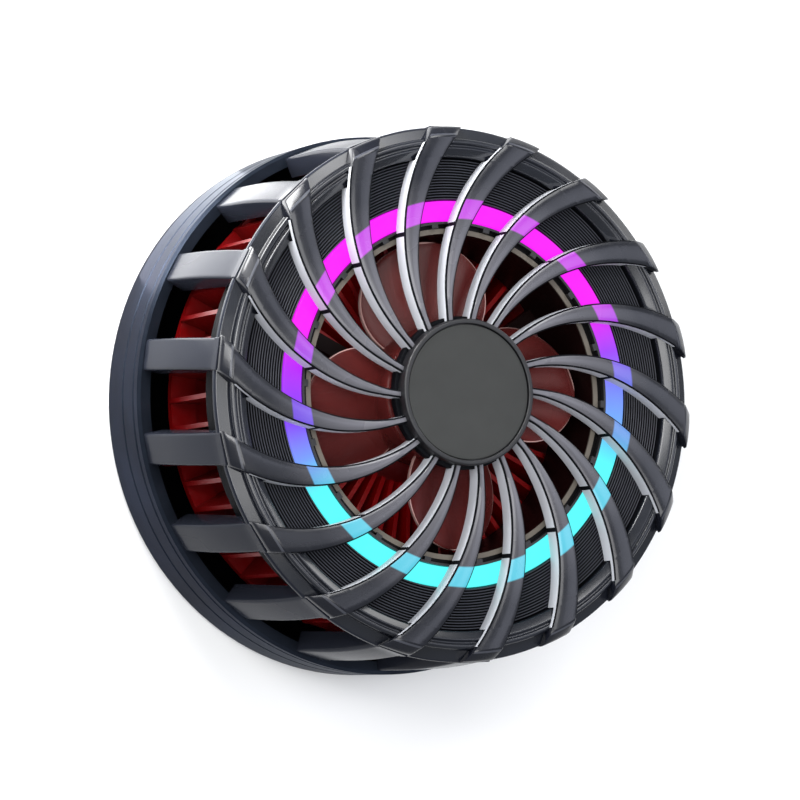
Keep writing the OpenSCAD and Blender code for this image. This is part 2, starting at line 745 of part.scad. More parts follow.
module fan_lead() {
  lead_z = z_frame - fit - wire_r;
  color("black") rotate([0, 0, strut_angles[0]]) {
    wire([fan_wire_c, 0, lead_z], z_motor - lead_z, [0, 0, 0], wire_r);
    wire([fan_wire_c, 0, lead_z], wire_c - fan_wire_c, [0, 90, 0], wire_r);
    wire([wire_c, 0, lead_z], z_led_board - lead_z, [0, 0, 0], wire_r);
    for (x = [fan_wire_c, wire_c]) translate([x, 0, lead_z]) sphere(r = wire_r, $fn = 24);
  }
}

module shaft() {
  color("gainsboro") translate([0, 0, z_shaft]) cylinder(r = shaft_r, h = z_disc + fan_disc_t/2 - z_shaft);
}

module rotor_yoke() {
  color("lightsteelblue") {
    ring(yoke_r, yoke_r - yoke_t, z_skirt, z_yoke_top - z_skirt);
    ring(yoke_r, sleeve_r + fit, z_yoke_top - yoke_t, yoke_t);
  }
}

module rotor_magnet() {
  color("dimgray") ring(magnet_out_r, magnet_bore_r, z_skirt, z_yoke_top - yoke_t - skirt_gap - z_skirt);
}

// Hub cup with round, pitched paddles
module fan_impeller() {
  paddle_c = tip_r - paddle_r;
  color("maroon") difference() {
    union() {
      translate([0, 0, z_skirt]) cylinder(r = fan_hub_r, h = z_blade_top - z_skirt);
      for (k = [0 : blade_n - 1]) rotate([0, 0, blade_a + k*360/blade_n]) intersection() {
        translate([paddle_c, 0, z_blade - eps]) cylinder(r = paddle_r, h = blade_h + 2*eps);
        translate([0, 0, z_blade + blade_h/2]) rotate([-blade_pitch, 0, 0])
          translate([0, -2*paddle_r, -blade_t/2]) cube([tip_r + eps, 4*paddle_r, blade_t]);
      }
    }
    translate([0, 0, z_skirt - eps]) cylinder(r = fan_hub_r - fan_hub_wall, h = z_disc - z_skirt + eps);
    translate([0, 0, z_disc - eps]) cylinder(r = shaft_r, h = eps + fan_disc_t/2);
  }
}

// Outer profile of a rib: upright at the foot, then curving inwards to the front
function rib_edge(s) =
  [rib_out_r - rib_lean*pow(max(0, s - rib_straight)/(1 - rib_straight), 2), base_h + s*rib_len];

module rib_section() {
  polygon(concat([[rib_in_r, z_rib_top], [rib_in_r, base_h]], [for (i = [0 : 8]) rib_edge(i/8)]));
}

module side_ribs() {
  color("slategray") difference() {
    for (k = [0 : spoke_n - 1]) rotate([0, 0, rib_mid_a + k*pitch]) intersection() {
      rotate_extrude() rib_section();
      translate([rib_in_r - eps, 0, (base_h + z_rib_top)/2]) rotate([-rib_skew, 0, 0])
        translate([0, -rib_w/2, -rib_len]) cube([rib_depth + 2*eps, rib_w, 2*rib_len]);
    }
    for (k = case_ribs) rotate([0, 0, rib_foot_a + k*pitch]) translate([boss_c, 0, base_h - eps])
      cylinder(r = screw_r + fit, h = rib_screw_d + eps);
  }
}

module case_screws() {
  color("gainsboro") for (k = case_ribs) rotate([0, 0, rib_foot_a + k*pitch])
    translate([boss_c, 0, floor_t/2 - head_h]) screw(base_h + rib_screw_d - screw_end - floor_t/2);
}

module rim_ring() {
  color("slategray") rotate_extrude() polygon([
    [ledge_r, z_ledge], [skirt_r - skirt_t, z_ledge], [skirt_r - skirt_t, z_ledge - skirt_h],
    [skirt_r, z_ledge - skirt_h], [skirt_r, z_rib_top], [hoop_r, z_rib_top],
    [hoop_r, z_hoop], [rim_r, z_hoop], [rim_r, z_rim - lip_bevel],
    [rim_r - lip_bevel, z_rim], [rim_r - lip_w, z_rim],
    [rim_r - lip_w - trough_d, z_rim - trough_d], [rim_in_r + lip_w + trough_d, z_rim - trough_d],
    [rim_in_r + lip_w, z_rim], [rim_in_r + lip_bevel, z_rim], [rim_in_r, z_rim - lip_bevel],
    [rim_in_r, z_led_board], [ledge_r, z_led_board]
  ]);
}

module led_board() {
  color("darkgreen") ring(ridge_r, led_board_in_r, z_led_board, led_board_t);
}

module led_chips() {
  color("white") for (k = [0 : spoke_n - 1]) rotate([0, 0, gap_a + k*pitch])
    translate([led_c - led_w/2, -led_w/2, z_led]) cube([led_w, led_w, led_h]);
}

// Flat ring whose top is cut into fine concentric ridges
module ridged_ring() {
  step = (ridge_r - ridge_in_r)/ridge_n;
  color("black") rotate_extrude() polygon(concat(
    [[ridge_in_r, z_led], [ridge_r, z_led]],
    [for (i = [ridge_n - 1 : -1 : 0]) each [
      [ridge_in_r + (i + 1)*step, z_spoke - ridge_d], [ridge_in_r + (i + 0.75)*step, z_spoke],
      [ridge_in_r + (i + 0.25)*step, z_spoke]
    ]],
    [[ridge_in_r, z_spoke - ridge_d]]
  ));
}

module light_ring() {
  color("magenta") ring(light_r, light_in_r, z_light, light_t);
}

// Thin wall inside the lit ring, with a small tab in each gap between spokes
module clip_ring() {
  wall_in_r = shroud_r - clip_t;
  color("black") difference() {
    ring(shroud_r, wall_in_r - tab_d, z_shroud_top, shroud_drop);
    difference() {
      ring(wall_in_r, wall_in_r - tab_d - eps, z_shroud_top - eps, shroud_drop + 2*eps);
      for (k = [0 : spoke_n - 1]) rotate([0, 0, gap_a + k*pitch])
        translate([wall_in_r - tab_d - 2*eps, -tab_w/2, z_shroud_top - 2*eps])
          cube([tab_d + 4*eps, tab_w, shroud_drop + 4*eps]);
    }
  }
}

// Upright section that every spoke shares: over the rings, over the rim and down to the hoop
module spoke_section() {
  crease_r = rim_r + end_crease;
  polygon([
    [bezel_r, z_spoke], [rim_in_r - fit, z_spoke], [rim_in_r - fit, z_rim], [rim_r + fit, z_rim],
    [rim_r + fit, z_hoop], [hoop_r, z_hoop], [hoop_r - end_round, z_rim], [crease_r, z_front - end_round],
    [crease_r - end_crease, z_front], [bezel_r, z_front]
  ]);
}

// Crescent between two arcs, which gives a spoke its swept and widening plan
module spoke_plan() {
  difference() {
    rotate([0, 0, trail_arc_a]) translate([trail_arc_c, 0, z_spoke - eps])
      cylinder(r = spoke_arc_r, h = spoke_t + 2*eps);
    rotate([0, 0, lead_arc_a]) translate([lead_arc_c, 0, z_spoke - 2*eps])
      cylinder(r = spoke_arc_r, h = spoke_t + 4*eps);
  }
}

module front_grille() {
  color("slategray") {
    for (k = [0 : spoke_n - 1]) rotate([0, 0, k*pitch]) intersection() {
      rotate_extrude() spoke_section();
      spoke_plan();
    }
    ring(collar_r, collar_r - collar_w, z_spoke + collar_up, collar_h - collar_up);
  }
}

module hub_bezel() {
  color("black") rotate_extrude() polygon([
    [0, z_spoke], [collar_r - collar_w - fit, z_spoke], [collar_r - collar_w - fit, z_collar],
    [bezel_r - fit, z_collar], [bezel_r - fit, z_bezel - lip_bevel], [bezel_r - fit - lip_bevel, z_bezel],
    [cap_r + ring_gap, z_bezel], [cap_r + ring_gap, z_cap], [0, z_cap]
  ]);
}

// Slightly dished disc in the bezel's pocket
module hub_cap() {
  color("dimgray") rotate_extrude() polygon([
    [0, z_cap], [cap_r, z_cap], [cap_r, z_cap + cap_t - cap_dish], [cap_r - cap_dish, z_cap + cap_t],
    [cap_r - cap_land, z_cap + cap_t], [0, z_cap + cap_t - cap_dish]
  ]);
}

thermal_pad();
magnet_cover();
magnets();
shunt_ring();
base_cup();
cold_plate();
clamp_screws();
gasket();
peltier_cold_face();
peltier_legs();
peltier_hot_face();
peltier_leads();
heat_sink();
sink_screws();
control_board();
board_chips();
board_screws();
usb_shell();
usb_tongue();
led_lead();
fan_frame();
frame_screws();
motor_board();
thrust_pad();
bearing_sleeve();
stator_core();
stator_coils();
fan_lead();
shaft();
rotor_yoke();
rotor_magnet();
fan_impeller();
side_ribs();
case_screws();
rim_ring();
led_board();
led_chips();
ridged_ring();
light_ring();
clip_ring();
front_grille();
hub_bezel();
hub_cap();
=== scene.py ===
import math

import bpy
from mathutils import Matrix, Vector


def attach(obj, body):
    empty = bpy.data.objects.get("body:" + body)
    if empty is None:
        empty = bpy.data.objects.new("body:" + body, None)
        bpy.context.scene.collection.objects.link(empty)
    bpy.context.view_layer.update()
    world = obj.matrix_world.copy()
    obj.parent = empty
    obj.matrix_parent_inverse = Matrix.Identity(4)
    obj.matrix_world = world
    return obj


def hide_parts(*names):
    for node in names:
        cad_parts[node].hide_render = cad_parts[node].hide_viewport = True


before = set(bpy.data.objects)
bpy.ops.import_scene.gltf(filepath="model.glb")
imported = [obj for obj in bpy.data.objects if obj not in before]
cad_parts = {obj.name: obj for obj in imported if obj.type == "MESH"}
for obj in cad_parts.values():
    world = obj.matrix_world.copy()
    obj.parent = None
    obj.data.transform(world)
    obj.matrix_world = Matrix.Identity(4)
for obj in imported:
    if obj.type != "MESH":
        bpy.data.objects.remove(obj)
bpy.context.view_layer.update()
MM = 0.001

# Sizes that the detailed pieces share with the solids, in millimetres
SPOKES = 18
PITCH = 360 / SPOKES
LEAD_ARC = (25.1, -40.3)
TRAIL_ARC = (25.6, -32.8)
ARC_R = 24.7
Z_CUP = 9.8
CUP_IN = 34.25
CUP_FLOOR = 1.0
LIT_IN = 22.4
LIT_OUT = 25.0
Z_SPOKE = 29.94
Z_FRONT = 32.34
Z_RIM = 31.44
Z_HOOP = 30.44
Z_RIB_TOP = 29.14
RIM_IN = 30.55
RIM_OUT = 32.95
HOOP = 34.55
RIB_OUT = 35.4
RIB_IN = 32.6
RIB_W = 4.2
RIB_LEAN = 0.85
RIB_STRAIGHT = 0.3
RIB_MID_A = 7.95
RIB_SKEW = math.radians(3.9)
RIB_EDGE = 0.45
RIB_STEPS = 24
RIDGE_IN = 25.1
RIDGE_OUT = 30.45
RIDGES = 15
Z_RIDGE_LOW = 27.94
Z_RIDGE_FOOT = 29.5
Z_RIDGE_SIDE = 29.86
COLLAR_IN = 7.9
COLLAR_OUT = 9.9
Z_COLLAR_LOW = 30.24
Z_COLLAR_TOP = 31.44
FAN_ROOT = 9.0
FAN_TIP = 20.2
PADDLES = 4

# Fine detail that only this scene has, in millimetres
RIB_PROUD = 0.06
HOOP_FALL = 0.4
# Painted reflection: radii where the spokes' pale sides are painted dark, mirroring the black ring beside the
# lit ring
DARK_RING_REFLECTION = (21.5, 22.0)
SPOKE_IN = 9.5
SPOKE_LAP = 0.05
SPOKE_HALF_MIN = 0.5
SPOKE_STEPS = 40
BLOCK_STEPS = 6
SPOKE_EDGE = 0.22
BLOCK_EDGE = 0.2
CROWN = 0.1

# Material slots of the spokes: top face, side faces with painted light, near-black and painted dark lines,
# and a painted highlight on the bend
TOP_FACE, PAINTED_LIT_SIDE, BLACK_AND_PAINTED_DARK, BEND_HIGHLIGHT = range(4)


# Mesh helpers


def make_mesh(name, verts, faces, body, mats, face_mats=None, sharp=35):
    """A mesh from millimetre points that rides on a body, with smooth faces and sharp creases."""
    mesh = bpy.data.meshes.new(name)
    mesh.from_pydata([[c * MM for c in v] for v in verts], [], faces)
    for m in mats:
        mesh.materials.append(m)
    if face_mats:
        for poly, index in zip(mesh.polygons, face_mats):
            poly.material_index = index
    mesh.validate()
    mesh.update()
    mesh.shade_smooth()
    mesh.set_sharp_from_angle(angle=math.radians(sharp))
    obj = bpy.data.objects.new(name, mesh)
    bpy.context.scene.collection.objects.link(obj)
    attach(obj, body)
    return obj


def rounded(points, radius, steps=4):
    """The closed outline with each corner cut to an arc; radius is one number or one per corner."""
    n = len(points)
    radii = radius if isinstance(radius, (list, tuple)) else [radius] * n
    out = []
    for i in range(n):
        p = Vector(points[i])
        a = Vector(points[i - 1]) - p
        b = Vector(points[(i + 1) % n]) - p
        reach = min(radii[i], a.length * 0.45, b.length * 0.45)
        if reach < 0.01:
            out.append(tuple(p))
            continue
        start = p + a.normalized() * reach
        end = p + b.normalized() * reach
        for k in range(steps + 1):
            t = k / steps
            out.append(tuple(start * (1 - t) ** 2 + p * 2 * t * (1 - t) + end * t ** 2))
    return out


def lathe(name, outline, body, mats, turns=288, pick=None):
    """A closed outline of (radius, height) points turned about the axis; pick chooses a face's material."""
    n = len(outline)
    verts = []
    for k in range(turns):
        a = 2 * math.pi * k / turns
        verts += [(r * math.cos(a), r * math.sin(a), z) for r, z in outline]
    faces = []
    face_mats = []
    for k in range(turns):
        nxt = (k + 1) % turns
        for i in range(n):
            j = (i + 1) % n
            if outline[i][0] < 1e-6 and outline[j][0] < 1e-6:
                continue
            faces.append((k * n + i, nxt * n + i, nxt * n + j, k * n + j))
            middle = [(a + b) / 2 for a, b in zip(outline[i], outline[j])]
            face_mats.append(pick(*middle) if pick else 0)
    return make_mesh(name, verts, faces, body, mats, face_mats)


def skin(rings):
    """Points and faces of a capped tube through rings of equal point counts, and each face's side."""
    n = len(rings[0])
    verts = [p for ring in rings for p in ring]
    faces = []
    sides = []
    for i in range(len(rings) - 1):
        for j in range(n):
            k = (j + 1) % n
            faces.append((i * n + j, i * n + k, (i + 1) * n + k, (i + 1) * n + j))
            sides.append(j)
    faces.append(tuple(range(n - 1, -1, -1)))
    faces.append(tuple((len(rings) - 1) * n + j for j in range(n)))
    sides += [-1, -1]
    return verts, faces, sides


# Material helpers

NOISE_ROUGHNESS = 0.55
GRAIN_DEPTH = 0.00002
TURNING_DEPTH = 0.0001
COAT_ROUGHNESS = 0.06
# Painted glow on the spokes over the lit ring: its strength and the softness of its edges
PAINTED_GLOW_SHINE = 0.85
PAINTED_GLOW_BLUR = 0.1
PAINTED_SHADOW_BAND = (6, 5, 6)
EDGE_TINT = (0.3, 0.33, 0.38, 1)
# Tint of the painted glow on the spokes
PAINTED_GLOW_TINT = (0.62, 0.66, 0.85)


def linear(r, g, b):
    """An sRGB colour of 0 to 255 as linear values."""
    out = []
    for c in (r, g, b):
        c /= 255
        out.append(c / 12.92 if c <= 0.04045 else ((c + 0.055) / 1.055) ** 2.4)
    return (*out, 1)


def new_material(name):
    m = bpy.data.materials.new(name)
    m.use_nodes = True
    tree = m.node_tree
    tree.nodes.clear()
    out = tree.nodes.new("ShaderNodeOutputMaterial")
    shader = tree.nodes.new("ShaderNodeBsdfPrincipled")
    tree.links.new(shader.outputs["BSDF"], out.inputs["Surface"])
    return m, tree, shader


def noise(tree, vector, scale, detail=3.0):
    node = tree.nodes.new("ShaderNodeTexNoise")
    node.inputs["Scale"].default_value = scale
    node.inputs["Detail"].default_value = detail
    node.inputs["Roughness"].default_value = NOISE_ROUGHNESS
    tree.links.new(vector, node.inputs["Vector"])
    return node.outputs["Fac"]


def between(tree, value, start, end, low=0.0, high=1.0):
    """The value's place between start and end, as a number from low to high."""
    node = tree.nodes.new("ShaderNodeMapRange")
    node.inputs["From Min"].default_value = start
    node.inputs["From Max"].default_value = end
    node.inputs["To Min"].default_value = low
    node.inputs["To Max"].default_value = high
    tree.links.new(value, node.inputs["Value"])
    return node.outputs["Result"]


def spread(tree, value, low=0.0, high=1.0):
    """The middle of a noise stretched to the range from low to high."""
    return between(tree, value, 0.3, 0.7, low, high)


def product(tree, a, b):
    node = tree.nodes.new("ShaderNodeMath")
    node.operation = "MULTIPLY"
    tree.links.new(a, node.inputs[0])
    if isinstance(b, float):
        node.inputs[1].default_value = b
    else:
        tree.links.new(b, node.inputs[1])
    return node.outputs["Value"]


def mixed(tree, factor, colour, other):
    """The linked colour, or the fixed other one where the factor is one."""
    node = tree.nodes.new("ShaderNodeMix")
    node.data_type = "RGBA"
    node.inputs["B"].default_value = other
    tree.links.new(factor, node.inputs["Factor"])
    tree.links.new(colour, node.inputs["A"])
    return node.outputs["Result"]


def ramp(tree, value, stops):
    node = tree.nodes.new("ShaderNodeValToRGB")
    elements = node.color_ramp.elements
    while len(elements) < len(stops):
        elements.new(0.5)
    for e, (at, colour) in zip(elements, stops):
        e.position = at
        e.color = colour
    tree.links.new(value, node.inputs["Fac"])
    return node.outputs["Color"]


def limit(tree, value, how, at):
    """One where the value passes the limit, and nought elsewhere."""
    node = tree.nodes.new("ShaderNodeMath")
    node.operation = how
    node.inputs[1].default_value = at * MM
    tree.links.new(value, node.inputs[0])
    return node.outputs["Value"]


def bump(tree, value, shader, strength, distance):
    node = tree.nodes.new("ShaderNodeBump")
    node.inputs["Strength"].default_value = strength
    node.inputs["Distance"].default_value = distance
    tree.links.new(value, node.inputs["Height"])
    tree.links.new(node.outputs["Normal"], shader.inputs["Normal"])


def polar(tree):
    """The piece's own coordinates, with the radius from the axis, the height and the share of a turn."""
    coords = tree.nodes.new("ShaderNodeTexCoord").outputs["Object"]
    parts = tree.nodes.new("ShaderNodeSeparateXYZ")
    tree.links.new(coords, parts.inputs["Vector"])
    flat = tree.nodes.new("ShaderNodeVectorMath")
    flat.operation = "MULTIPLY"
    flat.inputs[1].default_value = (1, 1, 0)
    tree.links.new(coords, flat.inputs[0])
    length = tree.nodes.new("ShaderNodeVectorMath")
    length.operation = "LENGTH"
    tree.links.new(flat.outputs["Vector"], length.inputs[0])
    angle = tree.nodes.new("ShaderNodeMath")
    angle.operation = "ARCTAN2"
    tree.links.new(parts.outputs["Y"], angle.inputs[0])
    tree.links.new(parts.outputs["X"], angle.inputs[1])
    share = between(tree, angle.outputs["Value"], -math.pi, math.pi)
    return coords, length.outputs["Value"], parts.outputs["Z"], share


def set_gloss(shader, specular, coat=0.0):
    shader.inputs["Specular IOR Level"].default_value = specular
    shader.inputs["Coat Weight"].default_value = coat
    shader.inputs["Coat Roughness"].default_value = COAT_ROUGHNESS


def surface(name, dark, light, rough, scale=500, metal=0.0, alpha=1.0, grain=0.05, stretch=(1, 1, 1),
            specular=0.5):
    """Mottled colour, uneven gloss and a fine grain, all from noise in the piece's own coordinates."""
    m, tree, shader = new_material(name)
    coords = tree.nodes.new("ShaderNodeTexCoord")
    mapping = tree.nodes.new("ShaderNodeMapping")
    mapping.inputs["Scale"].default_value = stretch
    tree.links.new(coords.outputs["Object"], mapping.inputs["Vector"])
    vector = mapping.outputs["Vector"]
    colour = ramp(tree, spread(tree, noise(tree, vector, scale * 0.2)), [(0.0, dark), (1.0, light)])
    tree.links.new(colour, shader.inputs["Base Color"])
    tree.links.new(spread(tree, noise(tree, vector, scale), *rough), shader.inputs["Roughness"])
    shader.inputs["Metallic"].default_value = metal
    shader.inputs["Alpha"].default_value = alpha
    set_gloss(shader, specular)
    bump(tree, noise(tree, vector, scale * 4), shader, grain, GRAIN_DEPTH)
    return m


def turned_metal(name, dark, light, painted_inner_shade, rough):
    """Metal with fine lathe lines that run round the axis, and painted shade: near-black inside the cup."""
    m, tree, shader = new_material(name)
    coords, radius, height, _ = polar(tree)
    lines = tree.nodes.new("ShaderNodeCombineXYZ")
    tree.links.new(radius, lines.inputs["X"])
    tree.links.new(height, lines.inputs["Y"])
    turned = noise(tree, lines.outputs["Vector"], 9000, 2.0)
    colour = ramp(tree, spread(tree, noise(tree, coords, 120)), [(0.0, dark), (1.0, light)])
    # Painted shade on the cup's inner faces
    within = limit(tree, radius, "LESS_THAN", CUP_IN)
    above = limit(tree, height, "GREATER_THAN", CUP_FLOOR)
    inside = product(tree, within, above)
    tree.links.new(mixed(tree, inside, colour, painted_inner_shade), shader.inputs["Base Color"])
    tree.links.new(spread(tree, turned, *rough), shader.inputs["Roughness"])
    shader.inputs["Metallic"].default_value = 0.7
    shader.inputs["Specular IOR Level"].default_value = 0.2
    shader.inputs["Specular Tint"].default_value = EDGE_TINT
    bump(tree, turned, shader, 0.06, TURNING_DEPTH)
    return m


def by_height(name, low, high, z_low, z_high, rough, specular, shadow_band_from=None):
    """Plastic whose colour goes from low to high between two heights, as painted light and shade, and may
    carry a painted black shadow band outside a radius.
    """
    m, tree, shader = new_material(name)
    coords, radius, height, _ = polar(tree)
    colour = ramp(tree, between(tree, height, z_low * MM, z_high * MM), [(0.0, low), (1.0, high)])
    if shadow_band_from:
        beyond = limit(tree, radius, "GREATER_THAN", shadow_band_from)
        colour = mixed(tree, beyond, colour, linear(*PAINTED_SHADOW_BAND))
    tree.links.new(colour, shader.inputs["Base Color"])
    speckle = noise(tree, coords, 2500)
    tree.links.new(spread(tree, speckle, *rough), shader.inputs["Roughness"])
    set_gloss(shader, specular)
    bump(tree, speckle, shader, 0.05, GRAIN_DEPTH)
    return m


def by_radius(name, inner, outer, r_in, r_out, rough, metal):
    """Anodised metal whose colour goes from inner to outer between two radii, as painted light and shade on
    the fins.
    """
    m, tree, shader = new_material(name)
    coords, radius, _, _ = polar(tree)
    cloud = spread(tree, noise(tree, coords, 60), 0.82, 1.0)
    place = product(tree, cloud, between(tree, radius, r_in * MM, r_out * MM))
    tree.links.new(ramp(tree, place, [(0.0, inner), (1.0, outer)]), shader.inputs["Base Color"])
    grain = noise(tree, coords, 1200)
    tree.links.new(spread(tree, grain, *rough), shader.inputs["Roughness"])
    shader.inputs["Metallic"].default_value = metal
    bump(tree, grain, shader, 0.05, GRAIN_DEPTH)
    return m


def ring_glow(tree, share):
    """The lit ring's colour by its share of a turn: cyan below, magenta above, violet between."""
    violet = linear(150, 60, 255)
    cyan = linear(90, 255, 255)
    magenta = linear(253, 22, 255)
    return ramp(tree, share, [
        (0.0, violet), (0.02, linear(135, 80, 255)), (0.05, linear(120, 160, 255)), (0.08, cyan),
        (0.43, cyan), (0.455, linear(110, 190, 255)), (0.5, linear(125, 135, 255)),
        (0.53, linear(160, 70, 255)), (0.575, magenta), (0.935, magenta), (0.97, linear(190, 40, 255)),
        (1.0, violet),
    ])


def light_guide(name):
    """Milky plastic that glows."""
    m, tree, shader = new_material(name)
    coords, _, _, share = polar(tree)
    tree.links.new(ring_glow(tree, share), shader.inputs["Emission Color"])
    shader.inputs["Emission Strength"].default_value = 1.0
    cloud = noise(tree, coords, 700)
    colour = ramp(tree, spread(tree, cloud), [(0.0, linear(12, 8, 14)), (1.0, linear(20, 14, 22))])
    tree.links.new(colour, shader.inputs["Base Color"])
    tree.links.new(spread(tree, cloud, 0.3, 0.42), shader.inputs["Roughness"])
    set_gloss(shader, 0.15)
    bump(tree, cloud, shader, 0.05, GRAIN_DEPTH)
    return m


def smoked_spoke(name, hub_end, rim_end, rough):
    """Smoked plastic, paler towards the hub, with a painted glow in the lit ring's colours where the spoke
    crosses the ring.
    """
    m, tree, shader = new_material(name)
    coords, radius, _, share = polar(tree)
    cloud = spread(tree, noise(tree, coords, 90), 0.7, 1.0)
    # Paler towards the hub and darker towards the rim
    hub_share = product(tree, cloud, between(tree, radius, 28 * MM, 15 * MM, 0.0, 1.0))
    colour = ramp(tree, hub_share, [(0.0, rim_end), (1.0, hub_end)])
    tree.links.new(colour, shader.inputs["Base Color"])
    tree.links.new(spread(tree, noise(tree, coords, 160), *rough), shader.inputs["Roughness"])
    # Painted glow: the lit ring's colours painted on the spoke as emission over the ring
    past_inner = between(tree, radius, (LIT_IN - PAINTED_GLOW_BLUR) * MM, (LIT_IN + PAINTED_GLOW_BLUR) * MM)
    before_outer = between(tree, radius, (LIT_OUT + PAINTED_GLOW_BLUR) * MM, (LIT_OUT - PAINTED_GLOW_BLUR) * MM)
    painted_glow_mask = product(tree, past_inner, before_outer)
    tint = tree.nodes.new("ShaderNodeVectorMath")
    tint.operation = "MULTIPLY"
    tint.inputs[1].default_value = PAINTED_GLOW_TINT
    tree.links.new(ring_glow(tree, share), tint.inputs[0])
    tree.links.new(tint.outputs["Vector"], shader.inputs["Emission Color"])
    tree.links.new(product(tree, painted_glow_mask, PAINTED_GLOW_SHINE), shader.inputs["Emission Strength"])
    set_gloss(shader, 0.5, 0.15)
    bump(tree, noise(tree, coords, 4000), shader, 0.01, GRAIN_DEPTH)
    return m


smoke = smoked_spoke("smoke", linear(98, 97, 103), linear(16, 18, 26), (0.2, 0.32))
smoke_rib = surface("smoke_rib", linear(22, 24, 31), linear(42, 45, 54), (0.16, 0.28), 160,
                    stretch=(1, 1, 0.12), specular=0.05)
smoke_rim = surface("smoke_rim", linear(14, 16, 22), linear(28, 31, 39), (0.18, 0.26), 160,
                    grain=0.01, specular=0.65)
# Painted highlight: a lighter grey line along the bend of each spoke's block
painted_bend_highlight = surface("crease", linear(52, 54, 61), linear(66, 68, 76), (0.3, 0.4), 400)
# Painted light: the smoked spokes' side faces painted near-white where they catch the light
painted_lit_side = surface("spoke_side_painted_light", linear(186, 188, 194), linear(208, 210, 216), (0.3, 0.45), 400)
# Near-black with little gloss: painted shade on the spokes' bevels and the rim's skirt, painted reflection at
# the spokes' dark band, and the near-black collar
black_and_painted_dark = surface("black_and_painted_dark", linear(8, 9, 12), linear(16, 17, 21), (0.5, 0.62), 300, specular=0.05)
# Its last colour is the painted shade inside the cup
gunmetal = turned_metal("gunmetal", linear(32, 37, 46), linear(44, 50, 61), linear(6, 6, 7), (0.26, 0.4))
# Painted light and shade on the fins: brighter red near the axis, where they lie in shade, darker red further
# out
red_metal_painted_light = by_radius("red_anodised", linear(150, 0, 4), linear(106, 0, 2), 20, 27, (0.3, 0.45), 0.15)
red_clear = surface("red_clear", linear(88, 32, 31), linear(108, 41, 39), (0.24, 0.36), 200,
                    alpha=0.8, specular=0.2)
# Painted highlight: pale rims along the paddles' edges and tip rows
paddle_edge_highlight = surface("paddle_edge_highlight", linear(190, 150, 144), linear(206, 168, 162), (0.2, 0.3), 300)
# Painted shade: the shroud near-black below its top edge, with a painted black shadow band outside 21.45 mm
brown_clear = by_height("smoky_brown", linear(20, 7, 7), linear(104, 98, 90), 28.9, 29.2,
                        (0.35, 0.48), 0.1, shadow_band_from=21.45)
black = surface("black_plastic", linear(14, 14, 16), linear(26, 26, 29), (0.32, 0.48))
# Painted highlight: the ridges' tops painted lighter, their valleys near-black
ridge_painted_highlight = by_height("ridge_painted_highlight", linear(4, 4, 5), linear(70, 72, 80), Z_RIDGE_SIDE, Z_SPOKE,
                        (0.4, 0.52), 0.15)
cap_grey = surface("cap_grey", linear(44, 45, 44), linear(50, 51, 50), (0.55, 0.66), grain=0.1, specular=0.3)
silicone = surface("silicone", linear(66, 66, 70), linear(84, 84, 88), (0.6, 0.75), grain=0.15)
aluminium = surface("milled_aluminium", linear(180, 182, 186), linear(206, 208, 212), (0.25, 0.4), 300,
                    metal=0.9, stretch=(1, 8, 1))
steel = surface("plated_steel", linear(150, 152, 156), linear(186, 188, 192), (0.2, 0.34), 600, metal=0.9)
dark_magnet = surface("bonded_magnet", linear(34, 34, 37), linear(52, 52, 55), (0.5, 0.65), 700, metal=0.3)
ceramic = surface("white_ceramic", linear(224, 222, 216), linear(238, 237, 232), (0.5, 0.65), 800, grain=0.1)
semiconductor = surface("semiconductor", linear(100, 100, 106), linear(138, 138, 146), (0.35, 0.5), 900,
                        metal=0.6)
board = surface("solder_mask", linear(10, 62, 30), linear(20, 86, 44), (0.28, 0.4), 600)
chip = surface("chip_resin", linear(22, 22, 23), linear(36, 36, 38), (0.5, 0.6), 900)
lamp = surface("lamp_resin", linear(226, 222, 196), linear(242, 238, 216), (0.2, 0.3), 900)
copper = surface("enamelled_copper", linear(160, 92, 44), linear(196, 122, 66), (0.25, 0.4), 700, metal=0.85,
                 stretch=(1, 1, 12))
bronze = surface("sintered_bronze", linear(140, 108, 58), linear(170, 136, 80), (0.4, 0.55), 1200, metal=0.8)
wire_black = surface("black_lead", linear(20, 20, 21), linear(32, 32, 34), (0.4, 0.55), 800)
wire_red = surface("red_lead", linear(140, 16, 16), linear(170, 26, 26), (0.4, 0.55), 800)
foam = surface("foam", linear(26, 26, 27), linear(44, 44, 46), (0.8, 0.95), 1600, grain=0.4)
nylon = surface("nylon", linear(214, 210, 194), linear(230, 226, 212), (0.4, 0.55), 700)
glow = light_guide("light_guide")

# Materials of the solids that stay as they are
for names, material in (
    (("thermal_pad", "magnet_cover"), silicone),
    (("base_cup",), gunmetal),
    (("cold_plate",), aluminium),
    (("magnets", "shunt_ring", "clamp_screws", "sink_screws", "board_screws", "frame_screws", "case_screws",
      "usb_shell", "stator_core", "shaft", "rotor_yoke"), steel),
    (("gasket",), foam),
    (("peltier_cold_face", "peltier_hot_face"), ceramic),
    (("peltier_legs",), semiconductor),
    (("peltier_leads",), wire_red),
    (("heat_sink",), red_metal_painted_light),
    (("control_board", "motor_board", "led_board"), board),
    (("board_chips",), chip),
    (("usb_tongue", "clip_ring"), black),
    (("led_lead", "fan_lead"), wire_black),
    (("fan_frame",), brown_clear),
    (("thrust_pad",), nylon),
    (("bearing_sleeve",), bronze),
    (("stator_coils",), copper),
    (("rotor_magnet",), dark_magnet),
    (("led_chips",), lamp),
    (("rim_ring", "side_ribs", "front_grille"), smoke),
    (("fan_impeller",), red_clear),
    (("ridged_ring",), ridge_painted_highlight),
    (("light_ring",), glow),
    (("hub_bezel",), black),
    (("hub_cap",), cap_grey),
):
    for node_name in names:
        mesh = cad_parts[node_name].data
        mesh.materials.clear()
        mesh.materials.append(material)


# Swept spokes with a crowned top, rounded edges and a bevelled block at the rim


